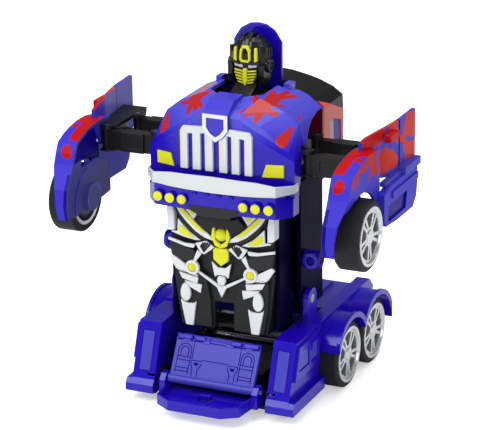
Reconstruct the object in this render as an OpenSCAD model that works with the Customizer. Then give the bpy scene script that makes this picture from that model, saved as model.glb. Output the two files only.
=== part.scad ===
// Toy truck that unfolds into a standing robot, shown standing.
// Millimetres, +Z up, robot faces -Y, +X is the viewer's right.
// Origin: centre of the base at ground level.

/* [Wheels] */
// Outer radius of every tyre
tyre_r = 22.8; // [22.2:0.1:22.8]
// Width of the four tyres on the base
tandem_tyre_w = 17; // [14:0.5:17]
// Width of the two tyres on the arms
arm_tyre_w = 17; // [14:0.5:17]
// Radius of the raised rim lip
lip_r = 19.2; // [18.6:0.1:19.6]

/* [Torso] */
// Outer half width of the torso sides
torso_half_w = 45; // [44:0.5:45]
// Radius of the waist ball
waist_ball_r = 5.5; // [4:0.5:6]
// Radius of the knee caps
knee_r = 4.2; // [3:0.2:4.6]

/* [Chest] */
// Radius of the six round lamps
lamp_r = 3.2; // [2.6:0.1:3.4]
// Width of the four inner grille bars
grille_bar_w = 5.4; // [4:0.1:5.8]

/* [Arms] */
// Half height of the swing bars
bar_half_h = 6.6; // [5:0.1:6.6]

/* [Base] */
// Height of the tray rim above its floor
tray_rim = 4; // [2:0.5:4.5]
// Thickness of the front flap
flap_t = 3; // [2:0.25:3]

/* [Hidden] */
$fn = 48;
y0 = 41;              // from the knee plane to the origin
fold_y = 36; fold_z = 67;      // fold hinge of the torso
level_y = 61.2; level_z = 203; // levelling hinge of the chest
axle_z = 22.8;
axle_ya = 55; axle_yb = 100.8;
arm_y = -9.9; arm_z = 133.6;   // arm wheel centre
arm_x = 108.4;        // outer face of the arm tyre
flap_y = -17; flap_z = 18;
flap_tilt = 60.5;
bar_z = 166;          // middle height of the swing bars
fb_x = 54; fb_y = 20; // chest pivot of the front bar
rb_x = 47; rb_y = 52; // chest pivot of the rear bar
arm_l = 36.6;         // pivot to pivot length of a bar

blue = [0.16, 0.12, 0.72]; dark = [0.10, 0.08, 0.42]; black = [0.10, 0.10, 0.11];
silver = [0.80, 0.82, 0.84]; yellow = [0.85, 0.83, 0.12]; red = [0.75, 0.15, 0.15];
green = [0.1, 0.4, 0.2]; steel = [0.6, 0.6, 0.62];

// ---- helpers ----
module bx(x0, x1, ya, yb, z0, z1) translate([x0, ya, z0]) cube([x1 - x0, yb - ya, z1 - z0]);
module cylx(x0, x1, y, z, r) translate([x0, y, z]) rotate([0, 90, 0]) cylinder(r = r, h = x1 - x0);
module cyly(x, ya, yb, z, r) translate([x, ya, z]) rotate([-90, 0, 0]) cylinder(r = r, h = yb - ya);
module cylz(x, y, z0, z1, r) translate([x, y, z0]) cylinder(r = r, h = z1 - z0);
module yz(x0, x1, pts) translate([x0, 0, 0]) rotate([90, 0, 90]) linear_extrude(x1 - x0) polygon(pts);
module xz(ya, yb, pts) translate([0, yb, 0]) rotate([90, 0, 0]) linear_extrude(yb - ya) polygon(pts);
module xy(z0, z1, pts) translate([0, 0, z0]) linear_extrude(z1 - z0) polygon(pts);
module both() { children(); mirror([1, 0, 0]) children(); }
module left() mirror([1, 0, 0]) children();
module place() translate([0, -y0, 0]) children();
function sym(p) = concat(p, [for (i = [len(p) - 1 : -1 : 0]) [-p[i][0], p[i][1]]]);

// ---- base ----
module chassis_pan() color(black) difference() {
  union() {
    bx(-38, 38, -12, 124.9, 4, 6.5);
    both() bx(36, 38, -12, 124.9, 6.5, 16);
    bx(-36, 36, 122.9, 124.9, 6.5, 16);
    both() for (y = [axle_ya, axle_yb]) bx(30, 35, y - 5, y + 5, 6.5, 27.5);
    both() for (y = [-6, 118]) cylz(32, y, 6.5, 13, 3.4);
    // battery bay moulded into the pan
    bx(-28, 28, 1, 51, 6.5, 22.1);
    // forks that hold the front rollers
    both() bx(37.9, 45.8, -11, -1, 4, 20);
    both() bx(51.2, 53.9, -11, -1, 4, 20);
    both() bx(45.8, 51.2, -11, -1, 13, 20);
  }
  bx(-26.8, 26.8, 2, 50, 3, 21.3);
  for (y = [axle_ya, axle_yb]) cylx(-50, 50, y, axle_z, 2.05);
  bx(-4, 4, 60, 72, 3, 7);
  both() cylx(40, 56, -6, 6.2, 1.5);
  both() for (y = [-6, 56, 118]) {
    cylz(32, y, 3, 5.2, 2.7);
    cylz(32, y, 3, 12.1, 1.3);
  }
}
module battery_cells() color(steel) for (y = [10, 26, 42]) {
  cylx(-24.8, 24.8, y, 14.05, 7.05);
  cylx(24.8, 25.8, y, 14.05, 2.5);
}
module battery_contacts() color(steel) both() for (y = [10, 26, 42]) bx(25.9, 26.7, y - 5, y + 5, 9, 19);
module battery_door() color(black) difference() {
  union() {
    bx(-26.6, 26.6, 3.3, 49.8, 4, 6.3);
    cylx(-26.6, 26.6, 3.3, 5.15, 1.15);
  }
  cylz(0, 45, 3, 5, 2.7);
  cylz(0, 45, 3, 7, 1.2);
}
module door_screw() color(steel) {
  cylz(0, 45, 4.2, 5, 2.6);
  cylz(0, 45, 5, 6.3, 1.2);
}
module chassis_screws() color(steel) both() for (y = [-6, 56, 118]) {
  cylz(32, y, 4.3, 5.2, 2.6);
  cylz(32, y, 5.2, 12, 1.3);
}
module power_switch() color(silver) {
  bx(-3.8, 3.8, 60.3, 66.3, 4.2, 6.6);
  bx(-6, 6, 60.3, 66.3, 6.6, 8.6);
}
module circuit_board() {
  color(green) bx(-30, 30, 80, 120, 34.4, 36);
  color(black) {
    bx(-12, 2, 92, 106, 36, 37.6);
    bx(8, 18, 86, 94, 36, 37.2);
    bx(-24, -18, 84, 96, 36, 39.4);
    cylz(22, 108, 36, 39.4, 3);
  }
}
module drive_motor() color(steel) cylx(-15, 15, 73, 21, 9.8);
module drive_gearbox() color(black) difference() {
  bx(-17, 17, 84, 114, 6.6, 33);
  cylx(-20, 20, axle_yb, axle_z, 2.05);
}
module hinge_shaft() color(steel) cylx(-49.9, 49.9, fold_y, fold_z, 3);

module side_block() difference() {
  union() {
    yz(40.5, 56.5, [[-20.5, 7], [-20.5, 14], [-6.3, 51.5], [31, 51.5], [31, 7]]);
    yz(56.5, 60.5, [[-22.6, 6.7], [-22.6, 12], [-20, 15], [31, 15], [31, 6.7]]);
    yz(40.5, 56.5, [[-22.6, 6.7], [-22.6, 12], [-19.6, 16], [-15, 16], [-15, 6.7]]);
    yz(56.5, 58.5, [[-13.5, 27], [-5.5, 48.5], [27.5, 48.5], [27.5, 27]]);
  }
  yz(43, 54, [[-18, 5], [-18, 14], [-4.8, 49], [29, 49], [29, 5]]);
  // recessed side window and its slanted rails
  yz(57.4, 59, [[-7.5, 32], [-3.4, 44], [10, 44], [10, 32]]);
  yz(57.4, 59, [[12.5, 32], [16.5, 44], [25, 44], [25, 32]]);
  // notch that clears the roller fork
  bx(40, 43.1, -11.1, -0.9, 6, 20.1);
  // inset panel on the sloped front
  translate([0, -13.4, 32.7]) rotate([-20.7, 0, 0]) bx(44, 53, -1.2, 1.2, -13, 14);
}
module fender_pair() difference() {
  union() {
    // arches that follow the two wheels
    for (y = [axle_ya, axle_yb]) {
      cylx(50.3, 70, y, axle_z, 28.2);
      cylx(69, 71.5, y, axle_z, 29.2);
    }
    yz(47.5, 57, [[31, 20], [31, 49], [35, 52], [121, 52], [127.5, 45.5], [127.5, 24]]);
    yz(47.5, 50, [[31, 7], [31, 52], [121, 52], [127.5, 45.5], [127.5, 7]]);
  }
  for (y = [axle_ya, axle_yb]) {
    cylx(50.3, 75, y, axle_z, 25.6);
    cylx(40, 60, y, axle_z, 3.4);
  }
  bx(50.3, 75, 20, 140, -10, 24);
  bx(46, 75, 20, 31, -10, 60);
  bx(46, 75, 127.5, 140, -10, 60);
}
module base_shell() color(blue) difference() {
  union() {
    both() side_block();
    both() fender_pair();
    both() bx(38.6, 47.6, 30.9, 76, 26, 28);
    both() bx(45.7, 49.9, 29, 43, 49.5, 67);
    both() cylx(45.7, 49.9, fold_y, fold_z, 7);
  }
  cylx(-60, 60, fold_y, fold_z, 3.04);
  both() cylx(39, 46, flap_y, flap_z, 2);
}
module rear_deck() color(blue) difference() {
  union() {
    bx(-47.4, 47.4, 76.1, 127.5, 40, 44);
    bx(-47.4, 47.4, 125, 127.5, 12, 40);
    bx(-47.4, 47.4, 76.1, 78.6, 31.5, 40);
    yz(-30, 30, [[84, 44], [88, 47], [118, 47], [122, 44]]);
  }
  for (k = [0 : 5]) bx(-22, 22, 91 + 4.4 * k, 93 + 4.4 * k, 45.6, 48);
}
module front_tray() color(blue) difference() {
  union() {
    xy(8, 11 + tray_rim, sym([[0, -45.5], [18.6, -45.5], [29.5, -38.5], [31.2, -23], [31.2, -20]]));
    bx(-31.2, 31.2, -20, -12.1, 8, 11);
    both() yz(31.2, 35.2, [[-23, 8], [-23, 18], [-19.5, 22], [-14.5, 22], [-12.1, 18], [-12.1, 8]]);
  }
  xy(11, 20, sym([[0, -43.4], [18, -43.4], [27.6, -37.4], [29.2, -23], [29.2, -19.9]]));
  xy(7, 20, sym([[0, -30], [4, -30], [5.5, -26], [5.5, -24]]));
  both() cylx(28, 40, flap_y, flap_z, 1.54);
}
module front_flap() color(blue) translate([0, flap_y, flap_z]) rotate([flap_tilt, 0, 0]) difference() {
  union() {
    bx(-30, 30, 0, 30.4, -flap_t / 2, flap_t / 2);
    cylx(-30.8, 30.8, 0, 0, 3);
    both() bx(6, 11, 25.5, 30.4, 1.2, 2.3);
    both() bx(20, 25, 25.5, 30.4, 1.2, 2.3);
  }
  cylx(-40, 40, 0, 0, 1.55);
}
module base_pins() color(steel) {
  cylx(-36, 36, flap_y, flap_z, 1.5);
  both() cylx(43.2, 53.8, -6, 6.2, 1.5);
}
module right_roller() color(black) difference() {
  cylx(46, 51, -6, 6.2, 6.2);
  cylx(45, 52, -6, 6.2, 1.55);
}
module left_roller() left() right_roller();

// ---- wheels: axis along +X, outer face at x1 ----
module rim(x0, x1) color(silver) difference() {
  rotate([0, 90, 0]) rotate_extrude() polygon([[0, x1 + 0.2], [0, x1 - 2.6], [2.05, x1 - 2.6], [2.05, x0],
    [5, x0], [5, x1 - 3.4], [15.6, x1 - 3.4], [15.6, x0], [18, x0], [18, x1], [lip_r, x1], [lip_r, x1 + 0.9],
    [17.2, x1 + 0.9], [16.4, x1 - 0.4], [4.6, x1 - 0.4], [4.2, x1 + 0.2]]);
  for (k = [0 : 4]) rotate([72 * k, 0, 0]) {
    // wide window between two spoke pairs, slot inside a pair
    yz(x1 - 4, x1 + 1, [[-1.7, 6.2], [1.7, 6.2], [5.6, 14], [3.6, 14.9], [-3.6, 14.9], [-5.6, 14]]);
    rotate([36, 0, 0]) yz(x1 - 4, x1 + 1, [[-0.4, 7.4], [0.4, 7.4], [1.5, 15.2], [-1.5, 15.2]]);
  }
}
module tyre(x0, x1) color(black) difference() {
  union() {
    cylx(x0 + 1.2, x1 - 1.2, 0, 0, tyre_r);
    translate([x1 - 1.2, 0, 0]) rotate([0, 90, 0]) cylinder(r1 = tyre_r, r2 = tyre_r - 1.2, h = 1.2, $fn = 64);
    translate([x0, 0, 0]) rotate([0, 90, 0]) cylinder(r2 = tyre_r, r1 = tyre_r - 1.2, h = 1.2, $fn = 64);
  }
  cylx(x0 - 1, x1 + 1, 0, 0, 18.01);
}
tx1 = 68;
module at_wheel(y, z) translate([0, y, z]) children();
module axle(y) color(steel) cylx(-tx1 + 2.8, tx1 - 2.8, y, axle_z, 2);
module front_axle() axle(axle_ya);
module rear_axle() axle(axle_yb);
module rim_pair(y) both() at_wheel(y, axle_z) rim(tx1 - tandem_tyre_w, tx1);
module tyre_pair(y) both() at_wheel(y, axle_z) tyre(tx1 - tandem_tyre_w, tx1);
module front_rims() rim_pair(axle_ya);
module rear_rims() rim_pair(axle_yb);
module front_tyres() tyre_pair(axle_ya);
module rear_tyres() tyre_pair(axle_yb);

// ---- torso ----
module torso_front() color(black) difference() {
  union() {
    xz(5, 26, sym([[0, 49], [31, 49], [34, 70], [36, 88], [36, 149.5]]));
    // leg and waist relief
    both() xz(2.5, 5, [[8, 50], [29, 50], [32, 66], [33, 86], [24, 96], [12, 86], [9, 70]]);
    xz(2.5, 5, sym([[0, 100], [9, 102], [24, 112], [30, 128], [24, 149.5]]));
  }
  xz(8, 27, sym([[0, 51.5], [28.6, 51.5], [31.5, 70], [33.5, 88], [33.5, 150]]));
  bx(-7, 7, 1, 8.1, 48, 68);
}
module torso_shell() color(dark) difference() {
  union() {
    bx(-38.5, 38.5, 8, 28, 52, 149.5);
    bx(-torso_half_w, torso_half_w, 28, 65, 58, 149.5);
    bx(-22, 22, 28, 62, 149.5, 200);
    bx(-22, 22, 62, 65, 149.5, 198);
    both() cylx(19, 22, level_y, level_z, 3.7);
    both() bx(19, 22, level_y - 3.7, 64.9, 198, 203);
    // ring bosses on the torso sides
    both() cylx(torso_half_w, 56, 36, 95, 5.8);
  }
  both() cylx(torso_half_w + 3, 57, 36, 95, 2.7);
  bx(-36.1, 36.1, 7, 28.1, 51, 147);
  bx(-36.1, 36.1, 7, 26.1, 146, 150);
  difference() {
    bx(-42.5, 42.5, 27.9, 66, 60.5, 147);
    both() cylx(38, 43, fold_y, fold_z, 6.4);
  }
  bx(-19.5, 19.5, 30.5, 60.5, 146, 198);
  cylx(-60, 60, fold_y, fold_z, 3.06);
  cylx(-30, 30, level_y, level_z, 2.06);
  bx(-18.9, 18.9, 62, 66, 198, 208);
}
module back_cover() color(black) bx(-42.4, 42.4, 63, 65, 60.6, 146.9);
module yellow_caps() color(yellow) {
  difference() {
    union() {
      translate([0, 5, 116.5]) sphere(r = waist_ball_r);
      both() translate([21.6, 5, 91.5]) sphere(r = knee_r);
    }
    bx(-40, 40, 2.5, 20, 80, 130);
  }
  xz(0.6, 2.5, sym([[0, 72.6], [4.5, 84], [9, 92], [6, 96], [2.5, 90]]));
}
module armour_plates() color(silver) both() {
  xz(0.6, 2.5, [[10, 103.5], [15, 101.5], [26, 113], [27.5, 127], [23, 127], [21, 116]]);
  xz(0.6, 2.5, [[17, 66], [29, 66], [30, 74], [26, 82], [18, 80], [15.5, 72]]);
  xz(0.6, 2.5, [[18.5, 50.5], [27, 50.5], [29, 64.4], [17, 64.4]]);
}
module fold_gearbox() color(black) difference() {
  bx(-24, 24, 30, 58, 60.6, 96);
  cylx(-30, 30, fold_y, fold_z, 3.06);
}
module fold_motor() color(steel) cylz(0, 45, 96, 126, 12);
module speaker() color(black) cyly(0, 58.2, 62.9, 131, 14);

// roof and windscreen slope seen from the side, crown seen from the front
cab_side = [[65.1, 140], [65.1, 203], [72, 207], [90, 207], [96.5, 201], [100.5, 190], [102, 177],
  [102, 144], [98, 140]];
cab_side_in = [[67.1, 142], [67.1, 201.6], [72.5, 204.8], [89.4, 204.8], [94.9, 199.7], [98.6, 189.4],
  [100, 176.8], [100, 145], [97, 142]];
cab_crown = sym([[0, 139], [45, 139], [45, 189], [39, 194.5], [30, 198.8], [12.5, 204.8], [0, 206.2]]);
cab_crown_in = sym([[0, 138], [43, 138], [43, 188], [37.8, 192.8], [29, 197], [12, 202.8], [0, 204]]);
glass_line = [[60, 194], [68, 193], [98, 180.5], [110, 178], [110, 220], [60, 220]];
module cab_solid() difference() {
  intersection() {
    yz(-45, 45, cab_side);
    xz(60, 110, cab_crown);
  }
  intersection() {
    yz(-43, 43, cab_side_in);
    xz(60, 110, cab_crown_in);
  }
}
module side_window(x0, x1, m) both() yz(x0, x1, [[84 - m, 177 + m], [97 + m, 172.6 + m], [99 + m, 150 - m],
  [86 - m, 150 - m]]);
module cab_shell() color(red) difference() {
  cab_solid();
  yz(-50, 50, glass_line);
  side_window(40, 50, 0.05);
  // opening for the torso neck
  bx(-22.2, 22.2, 60, 67.2, 139, 200.2);
}
module cab_glazing() color(black) {
  difference() {
    intersection() {
      cab_solid();
      translate([0, 0.04, 0.04]) yz(-50, 50, glass_line);
    }
    bx(-22.2, 22.2, 60, 67.2, 139, 200.2);
  }
  side_window(43.4, 44.6, 0);
}

// ---- head ----
module head_helmet() color(black) {
  cylz(0, 47, 200.02, 206, 6);
  difference() {
    union() {
      xz(41, 58, sym([[0, 206], [8, 206], [11.5, 212], [12.5, 222], [11, 231], [6, 235.5], [0, 236.6]]));
      both() cylx(11.5, 14.2, 49, 219, 4.6);
    }
    xz(40.9, 44, sym([[0, 205.9], [6.5, 205.9], [9, 210], [9.6, 222], [8, 224], [0, 222]]));
  }
}
module head_mask() color(yellow) {
  xz(42, 44, sym([[0, 206.4], [4, 206.4], [6.5, 211], [7, 216], [2, 218], [1.6, 221], [0, 221]]));
  both() xz(42.6, 44, [[3, 219], [8.5, 220.6], [8.8, 222.4], [7.6, 223.2], [3, 221.4]]);
}
module head_panel() color(blue) difference() {
  xz(63.1, 65, sym([[0, 198.1], [17, 198.1], [17, 231], [12, 238.6], [6, 242.2], [0, 243]]));
  xz(63, 63.9, sym([[0, 203], [14.8, 203], [14.8, 229.6], [10.4, 236.2], [5, 239.4], [0, 240.2]]));
}

// ---- chest ----
hood_a = sym([[0, 147], [26, 147], [26, 186], [15, 197], [0, 198.5]]);
hood_b = sym([[0, 147], [51, 147], [51, 171], [47, 177], [27, 192], [15, 200], [0, 201.5]]);
hood_c = sym([[0, 147], [51, 147], [51, 178], [46.5, 190.5], [37, 198], [20, 205.5], [0, 205.5]]);
hood_ai = sym([[0, 140], [23.8, 140], [23.8, 185], [14, 195], [0, 196.2]]);
hood_bi = sym([[0, 140], [48.6, 140], [48.6, 170.5], [45.4, 175], [26, 189.6], [14.4, 197.6], [0, 199]]);
hood_ci = sym([[0, 140], [48.6, 140], [48.6, 177.4], [44.6, 188.9], [35.7, 195.9], [19.5, 203], [0, 203]]);
module hood_core() hood_loft(hood_a, hood_b, hood_c, -2.5, 4, 21, 62);
module slab(y, pts) xz(y, y + 0.02, pts);
module hood_loft(a, b, c, ya, yb, yc, yd) {
  hull() { slab(ya, a); slab(yb, b); }
  hull() { slab(yb, b); slab(yc, c); }
  xz(yc, yd, c);
}
module hood_shell() color(blue) difference() {
  union() {
    difference() {
      hood_core();
      difference() {
        hood_loft(hood_ai, hood_bi, hood_ci, 0, 6.4, 23, 63);
        // ribs that the shoulder brackets bolt to
        both() bx(30, 35, 18, 24, 176, 200);
      }
    }
    both() cylx(22.3, 26.3, level_y, level_z, 3.7);
    both() bx(22.3, 26.3, 54, level_y, 203, 206.7);
  }
  // opening the head folds through
  xy(196, 210, sym([[0, 20.4], [9.6, 20.4], [18.6, 28.6], [18.6, 52], [22.2, 52], [22.2, 70]]));
  // wheel arch in each side
  both() yz(36, 60, [[11.5, 140], [11.5, 150], [12.9, 153.3], [17, 164.4], [20, 173], [25.5, 178.7], [32.3, 183.9],
    [41, 188.3], [52, 190.7], [70, 190.7], [70, 140]]);
  bx(-60, 60, 15.6, 70, 140, 178);
  cylx(-30, 30, level_y, level_z, 2.01);
}
module grille() color(silver) translate([0, -2.5, 0]) rotate([90, 0, 0]) linear_extrude(2.2) difference() {
  union() {
    difference() {
      polygon(sym([[0, 161], [25.2, 161], [25.2, 186.4], [23.4, 189.4], [0, 191]]));
      polygon(sym([[0, 160], [20.1, 160], [20.1, 184.8], [0, 186.8]]));
    }
    // inner bars hang from the top rail
    for (s = [-1, 1]) for (x = [5, 13.7])
      translate([s * x - grille_bar_w / 2, 161]) square([grille_bar_w, 27]);
  }
  polygon(sym([[0, 180.9], [5, 183.9], [9.2, 189], [9.2, 195]]));
}
module badge() difference() {
  union() {
    // block that runs back to the neck opening
    color(blue) yz(-8.4, 8.4, [[-2.45, 186], [-2.45, 188.6], [-4.8, 188.6], [-4.8, 197.6], [-1, 201.6],
      [6.2, 206.6], [20.3, 207], [20.3, 186]]);
    color(silver) xz(-5.6, -4, sym([[0, 181.2], [4.8, 184.2], [8.8, 189], [8.8, 199.6], [0, 199.6]]));
  }
  xz(-6, -4.9, sym([[0, 184.4], [3.4, 186.6], [6.2, 190.4], [6.2, 197], [0, 197]]));
  hood_core();
}
module headlights() color(yellow) both() difference() {
  intersection() {
    xz(-6, 8, [[31, 160.5], [44.6, 160.5], [44.6, 168.8], [33.6, 168.8]]);
    translate([0, -1, 0]) hood_core();
  }
  hood_core();
}
band_out = [[-52, 8], [-52, 1.4], [-43.4, -9.2], [-20, -11.2], [20, -11.2], [43.4, -9.2], [52, 1.4], [52, 8]];
band_in = [[51.1, 8], [51.1, 1.8], [42.9, -8], [20, -9.9], [-20, -9.9], [-42.9, -8], [-51.1, 1.8], [-51.1, 8]];
module bumper() color(silver) intersection() {
  xy(148, 160, concat(band_out, band_in));
  // deepest in the middle, thin at the ends
  xz(-12, 9, [[-52, 151], [-30, 149.4], [0, 148.6], [30, 149.4], [52, 151], [52, 156.2], [30, 158.8],
    [0, 159.4], [-30, 158.8], [-52, 156.2]]);
}
module lamp_bar() color(blue) difference() {
  xy(135, 155.4, [[-51, 11], [-51, 1.8], [-42.8, -7.9], [-20, -9.8], [20, -9.8],
    [42.8, -7.9], [51, 1.8], [51, 11]]);
  xy(137.5, 156, [[-48.6, 12], [-48.6, 2.6], [-41.8, -5.6], [-20, -7.4], [20, -7.4],
    [41.8, -5.6], [48.6, 2.6], [48.6, 12]]);
  xy(147, 156, [[-52, 12], [-52, -2.4], [52, -2.4], [52, 12]]);
  xy(134, 138, [[-49, 12], [-49, 1.8], [49, 1.8], [49, 12]]);
  // sockets for the lamps
  lamps(0.02, 0.04);
}
module lamps(gap, deep) both() {
  for (x = [21.7, 30.3]) cyly(x, -12, -8.4 + deep, 141.8, lamp_r + gap);
  cyly(39.1, -11.4, -7.6 + deep, 141.8, lamp_r + gap);
}
module round_lamps() color(yellow) lamps(0, 0);
bt = bar_z + 6.8;
bb = bar_z - 6.8;
module clevis(x, y, x_root) for (z = [[bt, bt + 2.4], [bb - 1.6, bb]]) {
  cylz(x, y, z[0], z[1], 4);
  bx(min(x, x_root), max(x, x_root), y - 4, y + 4, z[0], z[1]);
}
module shoulder_brackets() color(black) both() difference() {
  union() {
    clevis(fb_x, fb_y, 41);
    clevis(rb_x, rb_y, 41);
    bx(38, 41, fb_y - 4, rb_y + 4, bb - 1.6, bt + 2.4);
    bx(30, 41, 20, 58, bt, bt + 2.4);
    bx(30, 35, 24, 58, bt + 2.4, 196);
  }
  cylz(fb_x, fb_y, 140, 180, 1.52);
  cylz(rb_x, rb_y, 140, 180, 1.52);
}
module hinge_pins() color(steel) both() {
  cylz(fb_x, fb_y, bb - 1.5, bt + 2.3, 1.5);
  cylz(rb_x, rb_y, bb - 1.5, bt + 2.3, 1.5);
  cylx(19.1, 26.2, level_y, level_z, 2);
}

// ---- arms: built on the right, mirrored to the left ----
module bar(x, y, sa, sb) color(black) difference() {
  union() {
    translate([x, y, bar_z - bar_half_h]) linear_extrude(2 * bar_half_h) union() {
      circle(r = 3.3);
      translate([arm_l, 0]) circle(r = 3.3);
      translate([0, -3]) square([arm_l, 6]);
    }
    bx(x + sa, x + sb, y - 4.7, y + 4.7, bar_z - bar_half_h, bar_z + bar_half_h);
  }
  // long shallow pocket in each side of the sleeve
  for (s = [-1, 1]) translate([x + (sa + sb) / 2, y + s * 4.7, bar_z]) cube([sb - sa - 3, 1.2, 7.6], center = true);
  for (d = [0, arm_l]) cylz(x + d, y, 140, 180, 1.55);
}
module right_front_bar() bar(fb_x, fb_y, 8, 24);
module right_rear_bar() bar(rb_x, rb_y, 12, 28);
module left_front_bar() left() right_front_bar();
module left_rear_bar() left() right_rear_bar();
fx = fb_x + arm_l; rx = rb_x + arm_l;
// inner face of the side wall, leaning in towards the front
frame_in = [[84.5, 46], [84.5, 20.4], [88, 20.4], [90.6, 16.2]];
frame_out = [[94.2, 16.4], [96.3, 29.3], [98.9, 43.6], [100.4, 56.5], [100.8, 66]];
module frame_plate(z0, z1) xy(z0, z1, concat(frame_in, frame_out, [[84, 66], [79.6, 56], [79.6, 48]]));
module right_arm_frame() color(black) difference() {
  union() {
    frame_plate(bt, bt + 2.4);
    frame_plate(bb - 1.6, bb);
    for (p = [[fx, fb_y], [rx, rb_y]]) {
      cylz(p[0], p[1], bt, bt + 2.4, 4);
      cylz(p[0], p[1], bb - 1.6, bb, 4);
    }
    // back wall against the side panel
    xy(bb, bt, [[93.3, 24.6], [95.5, 24.6], [96.3, 29.3], [98.9, 43.6], [100.4, 56.5], [100.8, 66],
      [98.8, 66], [98.4, 56.5], [96.9, 43.6], [94.3, 29.3]]);
  }
  for (p = [[fx, fb_y], [rx, rb_y]]) cylz(p[0], p[1], 140, 190, 1.52);
}
module left_arm_frame() left() right_arm_frame();
module right_arm_pins() color(steel) for (p = [[fx, fb_y], [rx, rb_y]]) cylz(p[0], p[1], bb - 1.5, bt + 2.3, 1.5);
module left_arm_pins() left() right_arm_pins();
module right_arm_rim() at_wheel(arm_y, arm_z) rim(arm_x - arm_tyre_w, arm_x);
module left_arm_rim() left() right_arm_rim();
module right_arm_tyre() at_wheel(arm_y, arm_z) tyre(arm_x - arm_tyre_w, arm_x);
module left_arm_tyre() left() right_arm_tyre();

fend_out = [[-41, 127.4], [-43.2, 137], [-41.3, 147.9], [-36.2, 156.2], [-32.6, 162.6], [-29.8, 169.5],
  [-26.5, 175.6], [-18.9, 178.8], [-10.8, 181], [0.1, 182.5], [11.7, 182.5], [21, 181]];
fend_in = [[-39.2, 126], [-41.3, 137], [-39.5, 147.2], [-34.6, 155.3], [-30.9, 161.8], [-28.1, 168.8],
  [-25.2, 174], [-18.4, 176.9], [-10.6, 179], [0.2, 180.5], [11.7, 180.5], [22, 179]];
wall_in = [[93, 8], [94.5, 17.5], [96.7, 29.3], [99.3, 43.6], [100.9, 56.5], [101.5, 80]];
wall_out = [[104.2, 80], [103.4, 56.5], [101.8, 43.6], [99.2, 29.3], [97, 17.5], [95.5, 8]];
wall_side = [[8, 178], [8, 188], [14, 189.4], [29, 190.2], [56.5, 191.2], [80, 191.8], [80, 156],
  [42, 156], [20, 161]];
module fender() difference() {
  yz(88.7, 102.5, concat(fend_out, [[21, 140], [0, 126]]));
  yz(88, 100.5, concat(fend_in, [[22, 140], [0, 100]]));
  // wheel opening
  cylx(88, 110, arm_y, arm_z, 27.4);
  bx(88, 110, arm_y - 27.4, 30, 100, arm_z + 8);
  bx(88, 100.4, -12, 30, 100, 179.8);
  // the front tapers towards its tip
  xz(-60, -20, [[96, 120], [96, 128], [98.4, 148], [101.5, 158], [102.6, 162], [110, 162], [110, 120]]);
}
module side_wall() difference() {
  intersection() {
    xy(120, 195, concat(wall_in, wall_out));
    yz(90, 110, wall_side);
  }
  // seam between the door and the rear panel
  bx(102.4, 106, 53, 54.4, 160.5, 192.5);
}
// inner guard that covers the back of the wheel and carries its stub
module wheel_guard() {
  yz(89, 91.2, [[-41.2, 128], [-43, 137], [-41, 147.8], [-35.8, 156.2], [-32.2, 162.4], [-24, 163], [-21, 164],
    [-21, 157.3], [4, 157.3], [13, 154], [17, 149], [19.5, 130], [6, 129], [-29.5, 127]]);
  cylx(87, 89, -8, 134, 9);
  cylx(90, arm_x - 2.8, arm_y, arm_z, 2);
  // arm that ties the guard to the tank
  bx(89, 104, 17.2, 19.4, 131, 148);
}
module tank() difference() {
  union() {
    yz(102.6, 107.4, [[16.9, 134], [16.9, 152], [28, 155], [76.5, 155], [77, 143.7], [74.8, 134],
      [68.8, 128.2], [40, 128.4], [20, 130]]);
    // sill under the door and the rail below it
    bx(101.4, 108.4, 52, 80, 155, 160);
    bx(101.4, 105.4, 24, 52, 155, 158);
    yz(107.4, 108.4, [[30, 146], [30, 150.4], [76, 150.4], [76, 146]]);
  }
  yz(106.2, 109, [[24, 132], [24, 143], [58, 143], [55, 132]]);
}
module right_side_panel() color(blue) {
  fender();
  side_wall();
  wheel_guard();
  tank();
  // door handle
  color(red) bx(101.6, 106.2, 31, 46, 182.4, 187);
}
module left_side_panel() left() right_side_panel();

// ---- draw ----
place() chassis_pan();
place() base_shell();
place() rear_deck();
place() front_tray();
place() front_flap();
place() base_pins();
place() battery_cells();
place() battery_contacts();
place() battery_door();
place() door_screw();
place() chassis_screws();
place() power_switch();
place() circuit_board();
place() drive_motor();
place() drive_gearbox();
place() hinge_shaft();
place() left_roller();
place() right_roller();
place() front_axle();
place() front_rims();
place() front_tyres();
place() rear_axle();
place() rear_rims();
place() rear_tyres();
place() torso_front();
place() torso_shell();
place() back_cover();
place() yellow_caps();
place() armour_plates();
place() fold_gearbox();
place() fold_motor();
place() speaker();
place() cab_shell();
place() cab_glazing();
place() head_helmet();
place() head_mask();
place() head_panel();
place() hood_shell();
place() grille();
place() badge();
place() headlights();
place() bumper();
place() lamp_bar();
place() round_lamps();
place() shoulder_brackets();
place() hinge_pins();
place() right_front_bar();
place() right_rear_bar();
place() left_front_bar();
place() left_rear_bar();
place() right_arm_frame();
place() left_arm_frame();
place() right_arm_pins();
place() left_arm_pins();
place() right_side_panel();
place() left_side_panel();
place() right_arm_rim();
place() left_arm_rim();
place() right_arm_tyre();
place() left_arm_tyre();
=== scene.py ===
import bpy
import bmesh
import math
from mathutils import Matrix, Vector


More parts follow.
